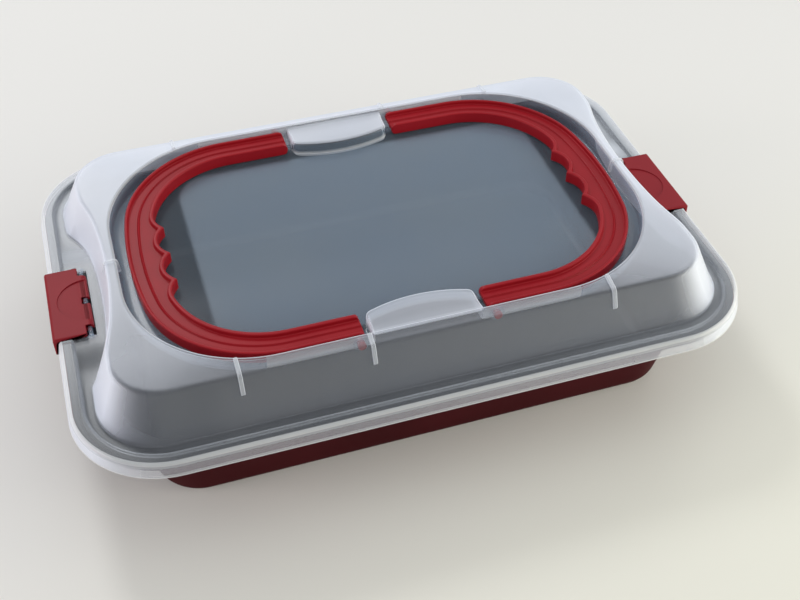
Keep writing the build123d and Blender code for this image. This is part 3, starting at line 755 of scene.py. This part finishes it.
def lidRibs(d, quarter):
    # the ribs follow the shell's own section at their place
    parts = []
    origin, aim = lidRays(d)
    sideX = np.where(aim[:, 0] == 0, origin[:, 0], np.inf)
    low = d["shoulderZ"] - d["ribDrop"]
    top = slice(int(np.argmax(quarter[:, 0, 2] > low - 6)), None)
    crestShare, cornerY = d["ribEnds"]
    for x in d["ribs"]:
        size = abs(x)
        column = quarter[top, int(np.argmin(np.abs(sideX - size)))]
        endY = cornerY if size > d["middle"][0] else d["recess"][1] + d["crestRound"] * crestShare
        section = column[(column[:, 2] > low) & (column[:, 1] > endY)]
        step = section[1] - section[0]
        first = section[0] - step / np.linalg.norm(step) * (section[0][2] - low) / d["wallLean"]
        section = np.concatenate([first[None], section])
        section[:, 0] = size
        section = section * [np.sign(x), -1, 1]
        part = ribPart(d, section, (1.0, 0.0, 0.0), d["ribWidth"])
        parts += [part, halfTurn(part)]
    column = quarter[:, 0]
    wallX = d["recess"][0] - d["draft"]
    keep = (column[:, 2] > low) & (column[:, 0] > wallX - 0.1)
    onWall = (column[:, 0] > wallX - 0.2) & (column[:, 0] < d["recess"][0])
    keep |= onWall & (column[:, 2] > d["floorZ"] + 1.2)
    part = ribPart(d, column[keep], (0.0, 1.0, 0.0), d["endRibWidth"])
    return parts + [part, halfTurn(part)]


def lidBars(d):
    # hinge bars with an ear at each end, and a collar behind each pin hole
    clear = lidZones.index("lidClear")
    x, z, r = d["bar"]
    half = d["slot"][2]
    parts = [sweptPart(rod((x, -half - 1, z), (x, half + 1, z), r), clear)]
    for near, far in ((-half, -half - d["earWidth"]), (half, half + d["earWidth"])):
        parts.append(sweptPart(rod((x, near, z), (x, far, z), d["ear"]), clear))
    turn = np.linspace(0, 2 * np.pi, 40, endpoint=False)
    inner, outer, edge = d["pinHole"], d["collar"], d["collarEdge"]
    start, stop = d["recess"][1] + 0.3, d["collarReach"]
    loops = [(inner, start), (inner, stop), (outer - edge, stop), (outer, stop - edge), (outer, start),
             (inner, start)]
    for x in (-d["pinX"], d["pinX"]):
        grid = np.stack([np.stack([x + r * np.cos(turn), y + 0 * turn, d["pinZ"] + r * np.sin(turn)], 1)
                         for r, y in loops])
        parts.append(closedPart(grid.reshape(-1, 3), [gridFaces(len(loops), len(turn), True)], clear))
    return parts + [halfTurn(part) for part in parts]


shell, quarter = lidShell(lid)
makePiece("lidMoulding", [shell] + lidRibs(lid, quarter) + lidBars(lid), [made[name] for name in lidZones],
          "lid", "lid")

# Lift handles
handle = {
    "armY": 103.3, "armInnerY": 86.6, "pivotX": 41.5, "pivotZ": 93.15, "endRadius": 4.05, "endRound": 0.9,
    "gripCentre": -91.6, "gripRadius": 250.0, "cornerRadius": 76.0, "cornerX": 80.25,
    "openCorner": (78.4, 26.6, 60.0), "openTurn": 13.0,
    "scallops": ((122.9, 12.5), (121.8, 36.6)), "scallopRadius": 15.5, "cuspSoft": 1.1,
    "lip": 2.0, "openingLip": 2.7, "channel": 2.8, "edgeRound": 0.85, "floorRound": 0.7, "footRound": 0.6,
    "ridgeInset": 7.9, "ridgeWidth": 1.2, "ridgeHeight": 1.0, "ridgeSoft": 0.4,
    "pinRadius": 2.5, "pinEnd": 110.6, "pinChamfer": 0.5, "fanCentre": (79.3, 27.0),
}


def circleExit(origin, aim, centre, radius):
    # how far along a ray it leaves a circle, or far behind it when it misses
    back = origin - np.array(centre)
    b = np.sum(back * aim, 1)
    root = b**2 - np.sum(back**2, 1) + radius**2
    return np.where(root > 0, -b + np.sqrt(np.maximum(root, 0)), -1e3)


def handleRays(h):
    # half a handle: straight rays along the arm, a fan round the corner, level rays at the grip
    cx, cy = h["fanCentre"]
    tail = h["pivotX"] - h["endRadius"] * np.sin(np.radians([90, 84, 76, 66, 54, 40, 26, 13, 0]))
    arm = np.concatenate([tail, np.linspace(h["pivotX"], cx, 12)[1:]])
    fan = np.radians(np.concatenate([np.arange(87, 36, -3.0), np.arange(36, 0, -1.2)]))
    level = np.concatenate([np.arange(cy, 25.6, -0.5), np.arange(25.5, 24.4, -0.25), np.arange(24, 1.2, -1.0),
                            [1.0, 0.6, 0.3, 0.0]])
    along, across = np.stack([arm, cy + 0 * arm], 1), np.stack([cx + 0 * level, level], 1)
    return fanRays(h["fanCentre"], along, (0.0, 1.0), fan, across, (1.0, 0.0))


def outerHit(h, rays, inset):
    # arm, then corner arc, then the bowed grip
    origin, aim = rays
    corner = (h["cornerX"], h["armY"] - h["cornerRadius"])
    t = circleExit(origin, aim, corner, h["cornerRadius"] - inset)
    hit = origin + aim * t[:, None]
    turn = np.arctan2(hit[:, 1] - corner[1], hit[:, 0] - corner[0])
    join = math.atan2(corner[1], corner[0] - h["gripCentre"])
    tGrip = circleExit(origin, aim, (h["gripCentre"], 0.0), h["gripRadius"] - inset)
    tArm = (h["armY"] - inset - origin[:, 1]) / np.maximum(aim[:, 1], 1e-9)
    t = np.where(turn < join, tGrip, np.where(hit[:, 0] < corner[0], tArm, t))
    return origin + aim * t[:, None]


def innerHit(h, rays, grow):
    # arm, then the opening's corner, then the finger scallops, whose cusps are softened
    origin, aim = rays
    x, y, r = h["openCorner"]
    t = circleExit(origin, aim, (x, y), r + grow)
    hit = origin + aim * t[:, None]
    turn = np.arctan2(hit[:, 1] - y, hit[:, 0] - x)
    tArm = (h["armInnerY"] + grow - origin[:, 1]) / np.maximum(aim[:, 1], 1e-9)
    (ax, ay), (bx, by) = h["scallops"]
    size = h["scallopRadius"] + grow
    soft = h["cuspSoft"]
    first = circleExit(origin, aim, (ax, ay), size)
    mirror = circleExit(origin, aim, (ax, -ay), size)
    second = circleExit(origin, aim, (bx, by), size)
    wave = softMax(softMax(first, second, soft), mirror, soft)
    t = np.where(turn < math.radians(h["openTurn"]), wave, np.where(hit[:, 0] < x, tArm, t))
    return origin + aim * t[:, None]


def lipSection(h, lip):
    # (inset, height) over one lip, from its foot to the channel's floor, its corners turned by arcs
    low, top = h["pivotZ"] - h["endRadius"], h["pivotZ"] + h["endRadius"]
    floor = top - h["channel"]
    turns = (0, 22, 45, 68, 90)
    foot, edge, fillet = (arcSteps(h[key], *turns) for key in ("footRound", "edgeRound", "floorRound"))
    return ([(b, low + a) for a, b in foot] + [(a, top - b) for a, b in edge] +
            [(lip - b, top - a) for a, b in edge] + [(lip + a, floor + b) for a, b in fillet])


def handleSection(h):
    # (side, inset, height) of the section's columns, from the outer foot over the top to the inner foot
    floor = h["pivotZ"] + h["endRadius"] - h["channel"]
    middle, reach = h["ridgeInset"] + h["ridgeWidth"] / 2, h["ridgeWidth"] / 2 + h["ridgeSoft"]
    across = np.linspace(-1, 1, 13)
    crest = [(middle + reach * a, floor + h["ridgeHeight"] * math.cos(a * math.pi / 2) ** 2) for a in across]
    outer, inner = lipSection(h, h["lip"]), lipSection(h, h["openingLip"])
    return [("outer", i, z) for i, z in outer + crest] + [("inner", i, z) for i, z in inner[::-1]]


def handlePart(h):
    # the section's columns along the rays, kept within the round end at the pivot and the rounding of the
    # arm's tip; mirrored to a whole handle, with its two pins
    rays = handleRays(h)
    x = rays[0][:, 0]
    onArm = rays[1][:, 0] == 0
    back = np.clip(h["pivotX"] - x, 0, h["endRadius"]) * onArm
    cap = np.sqrt(np.maximum(h["endRadius"] ** 2 - back**2, 0))
    fromTail = np.where(onArm, x - (h["pivotX"] - h["endRadius"]), np.inf)
    reach = np.clip(h["endRound"] - fromTail, 0, h["endRound"])
    pull = h["endRound"] - np.sqrt(h["endRound"] ** 2 - reach**2)
    columns = []
    for side, inset, z in handleSection(h):
        hit = outerHit(h, rays, inset) if side == "outer" else innerHit(h, rays, inset)
        y = np.where(onArm, np.clip(hit[:, 1], h["armInnerY"] + pull, h["armY"] - pull), hit[:, 1])
        height = np.where(onArm, np.clip(z, h["pivotZ"] - cap, h["pivotZ"] + cap), z)
        columns.append(np.column_stack([hit[:, 0], y, height]))
    half = np.stack(columns, 1)
    grid = np.concatenate([half, half[::-1][1:] * [1, -1, 1]])
    parts = [sweptPart(grid)]
    for s in (-1, 1):
        start, stop = ((h["pivotX"], s * y, h["pivotZ"]) for y in (h["armY"] - h["lip"], h["pinEnd"]))
        parts.append(sweptPart(rod(start, stop, h["pinRadius"], h["pinChamfer"])))
    return parts


rightHandle = handlePart(handle)
leftHandle = [halfTurn(part) for part in rightHandle]
red = [made["handleRed"]]
makePiece("liftHandleRight", rightHandle, red, "handle_right", "handle_right")
makePiece("liftHandleLeft", leftHandle, red, "handle_left", "handle_left")

# Latches
latch = {
    "inner": 191.0, "outer": 211.5, "low": 70.6, "top": 73.5, "half": 30.8, "tip": 61.0, "lip": 2.5,
    "nose": 1.5, "noseFront": 0.8, "noseHeight": 1.6, "noseBack": 2.2, "lipMiddle": 66.0,
    "plateMiddle": 200.0, "outerRound": 1.8, "underRound": 1.0, "edgeRound": 0.45, "bevel": 0.29,
    "endRound": 0.8,
    "scoopX": 187.2, "scoopRadius": 18.4, "scoopDeep": 1.0, "scoopLean": 0.0243, "scoopWall": 0.3,
    "barX": 188.8, "barZ": 70.4, "clip": (1.36, 2.8), "clipSpan": (3.0, 23.0), "mouthHalf": 34.0,
    # points of the cover over a clip, from the plate's edge and from the bar, and down from the top
    "coverFront": ((0.6, 2.6), (0.5, 1.3)),
    "coverBack": ((-0.4, 0.09), (-1.0, 0.42), (-0.2, 1.5), (1.9, 2.6)),
    "clipColumns": (17.6, 17.9, 18.1, 18.3, 18.5, 18.7),          # where the scoop's end crosses the clip
}


def scoopFloor(c, x):
    # the floor of the thumb scoop rises evenly away from the hinge
    return c["top"] - c["scoopDeep"] + c["scoopLean"] * (x - c["barX"] + c["clip"][1])


def latchPart(c):
    # the plate's section as a closed loop, carried along the latch; inside the scoop the top columns follow
    # the scoop's arc
    inner, outer, low, top, tip = (c[key] for key in ("inner", "outer", "low", "top", "tip"))
    radius, edge, r, wall, end = (c[key] for key in (
        "scoopRadius", "edgeRound", "outerRound", "scoopWall", "endRound"))
    start, bevel = inner + edge, c["bevel"] * edge
    widest = math.acos((start - c["scoopX"]) / radius)
    y = np.concatenate([c["half"] - end * np.array([0, 0.05, 0.2, 0.5, 1.0]), np.linspace(19, 29, 7),
                        radius * np.sin(np.linspace(0, widest, 24)), [18.2]])
    y = np.unique(np.round(np.concatenate([y, -y]), 4))
    arc = np.maximum(c["scoopX"] + np.sqrt(np.maximum(radius**2 - y**2, 0)), start)
    within = arc > start + 0.01
    same = np.ones(len(y))
    near = np.where(within, scoopFloor(c, start), top)
    loop = [(inner * same, (low + edge) * same), (inner * same, near - edge),
            ((inner + bevel) * same, near - bevel)]
    for t in np.linspace(0, 1, 7):
        x = start + (arc - start) * t
        loop.append((x, np.where(within, scoopFloor(c, x), top)))
    foot = loop[-1][1]
    for t, lift in ((0.15, 0.1), (0.5, 0.5), (0.85, 0.9), (1.0, 1.0)):
        loop.append((arc + wall * t, foot + (top - foot) * lift))
    for t in np.linspace(0, 1, 7)[1:]:
        loop.append((arc + wall + (outer - r - arc - wall) * t, top * same))
    lipX, under = outer - c["lip"], c["underRound"]
    noseX = lipX - c["nose"]
    turn = np.radians([15, 30, 45, 60, 75, 90])
    rest = [(outer - r + r * math.sin(a), top - r + r * math.cos(a)) for a in turn]
    rest += [(outer, c["lipMiddle"]), (outer, tip + edge), (outer - bevel, tip + bevel), (outer - edge, tip),
             (noseX + edge, tip), (noseX, tip + edge), (noseX, tip + c["noseFront"]),
             (lipX - 0.2, tip + c["noseHeight"]), (lipX, tip + c["noseBack"]), (lipX, low - under),
             (lipX - 0.3 * under, low - 0.3 * under), (lipX - under, low), (c["plateMiddle"], low),
             (start, low)]
    loop += [(x * same, z * same) for x, z in rest]
    loops = np.stack([np.stack(point, 1) for point in loop], 1)
    step = np.clip(end - (c["half"] - np.abs(y)), 0, end)
    loops = pillow(loops, end - np.sqrt(end**2 - step**2))
    return sweptPart(np.stack([loops[..., 0], y[:, None] + 0 * loops[..., 0], loops[..., 1]], 2))


def clipParts(c):
    # open rings that snap on the bar, and the plate's top run out over them; the scoop cuts both
    inner, outer = c["clip"]
    turn = np.radians(np.linspace(-135 + c["mouthHalf"], 225 - c["mouthHalf"], 48))
    ring = np.stack([np.cos(turn), np.sin(turn)], 1)
    section = np.concatenate([ring * outer, ring[::-1] * inner]) + [c["barX"], c["barZ"]]
    start = c["inner"] + c["edgeRound"]
    cover = np.array([(start + x, c["top"] - down) for x, down in c["coverFront"]] +
                     [(x, c["top"]) for x in np.linspace(start, c["barX"] + 0.3, 6)] +
                     [(c["barX"] + x, c["top"] - down) for x, down in c["coverBack"]])
    near, far = c["clipSpan"]
    y = np.array([near, near + 0.1, near + 0.35, *c["clipColumns"], far - 0.35, far - 0.1, far])
    parts = []
    for side in (-1, 1):
        for loop in (section, cover):
            x = loop[:, 0] + 0 * y[:, None]
            z = loop[:, 1] + 0 * y[:, None]
            depth = c["scoopRadius"] - np.hypot(x - c["scoopX"], y[:, None])
            floor = scoopFloor(c, x)
            cap = floor + (c["top"] + 0.02 - floor) * (1 - smoothStep(depth, 0, c["scoopWall"]))
            z = np.where(z > c["barZ"] + inner + 0.01, np.minimum(z, cap), z)
            parts.append(sweptPart(np.stack([x, side * y[:, None] + 0 * x, z], 2)))
    return parts


rightLatch = [latchPart(latch)] + clipParts(latch)
leftLatch = [halfTurn(part) for part in rightLatch]
red = [made["latchRed"]]
makePiece("snapLatchRight", rightLatch, red, "latch_right", "latch_right")
makePiece("snapLatchLeft", leftLatch, red, "latch_left", "latch_left")

# Floor and light
studio = {
    "floorSize": 6.0, "floorRough": 0.6,
    "floorColor": (0.82, 0.80, 0.76, 1.0),
    # a painted warm light towards the front: the floor's colour turns to this one
    "floorPaintedWarmLight": (0.82, 0.805, 0.71, 1.0),    # reached after this run towards the front, in metres
    "floorRun": 0.3,
    "floorAim": (0.3, -1.0, 0.0),
    "skyColor": (0.92, 0.96, 1.0, 1.0),
    "skyStrength": 0.54,
    "lampAim": (0.0, 0.0, 0.05),
    # place, diameter, power and colour of each round lamp, and whether it casts shadows
    "lamps": {
        "windowLight": ((-0.36, 1.40, 1.49), 0.5, 9.5, (0.96, 0.975, 0.99), True),
        "rearLight": ((1.50, 1.40, 1.50), 0.9, 4.0, (0.95, 0.98, 1.0), True),
        "topLight": ((0.10, 0.0, 1.9), 1.0, 3.0, (1.0, 1.0, 1.0), False),
        "rightLight": ((1.65, -0.50, 0.65), 0.9, 7.0, (1.0, 0.98, 0.94), True),
        "frontLight": ((0.95, -0.80, 0.4), 0.7, 4.0, (1.0, 0.96, 0.77), True),
        "leftLight": ((-1.8, -0.1, 0.6), 1.0, 8.8, (1.0, 0.90, 0.94), True),
    },
}


def makeArea(name, place, size, power, color, shadow):
    # a round lamp that looks at the pan
    data = bpy.data.lights.new(name, "AREA")
    data.shape = "DISK"
    data.size = size
    data.energy = power
    data.color = color
    data.use_shadow = shadow
    lamp = bpy.data.objects.new(name, data)
    aim = Vector(studio["lampAim"]) - Vector(place)
    lamp.matrix_world = Matrix.Translation(place) @ aim.to_track_quat("-Z", "Y").to_matrix().to_4x4()
    bpy.context.collection.objects.link(lamp)


def makeStudio(s):
    # the floor, whose colour warms along floorAim over floorRun as a painted warm light, an even sky and the
    # lamps
    half = s["floorSize"] / 2
    corners = [(-half, -half, 0), (half, -half, 0), (half, half, 0), (-half, half, 0)]
    mesh = bpy.data.meshes.new("floor")
    mesh.from_pydata(corners, [], [(0, 1, 2, 3)])
    floor = bpy.data.objects.new("floor", mesh)
    bpy.context.collection.objects.link(floor)
    table = bpy.data.materials.new("tableTop")
    table.use_nodes = True
    tree = table.node_tree
    shader = tree.nodes["Principled BSDF"]
    shader.inputs["Roughness"].default_value = s["floorRough"]
    place = tree.nodes.new("ShaderNodeTexCoord").outputs["Object"]
    run = mathStep(tree, "VectorMath", "DOT_PRODUCT", place, s["floorAim"])
    tone = tree.nodes.new("ShaderNodeValToRGB")
    tone.color_ramp.interpolation = "EASE"
    tone.color_ramp.elements[0].color = s["floorColor"]
    tone.color_ramp.elements[1].color = s["floorPaintedWarmLight"]
    tone.color_ramp.elements[1].position = s["floorRun"]
    tree.links.new(run.outputs["Value"], tone.inputs["Fac"])
    tree.links.new(tone.outputs["Color"], shader.inputs["Base Color"])
    mesh.materials.append(table)
    world = bpy.data.worlds.new("studio")
    world.use_nodes = True
    sky = world.node_tree.nodes["Background"]
    sky.inputs["Color"].default_value = s["skyColor"]
    sky.inputs["Strength"].default_value = s["skyStrength"]
    bpy.context.scene.world = world
    bpy.context.scene.view_settings.view_transform = "Standard"
    for name, lamp in s["lamps"].items():
        makeArea(name, *lamp)


makeStudio(studio)
print("stage: studio")
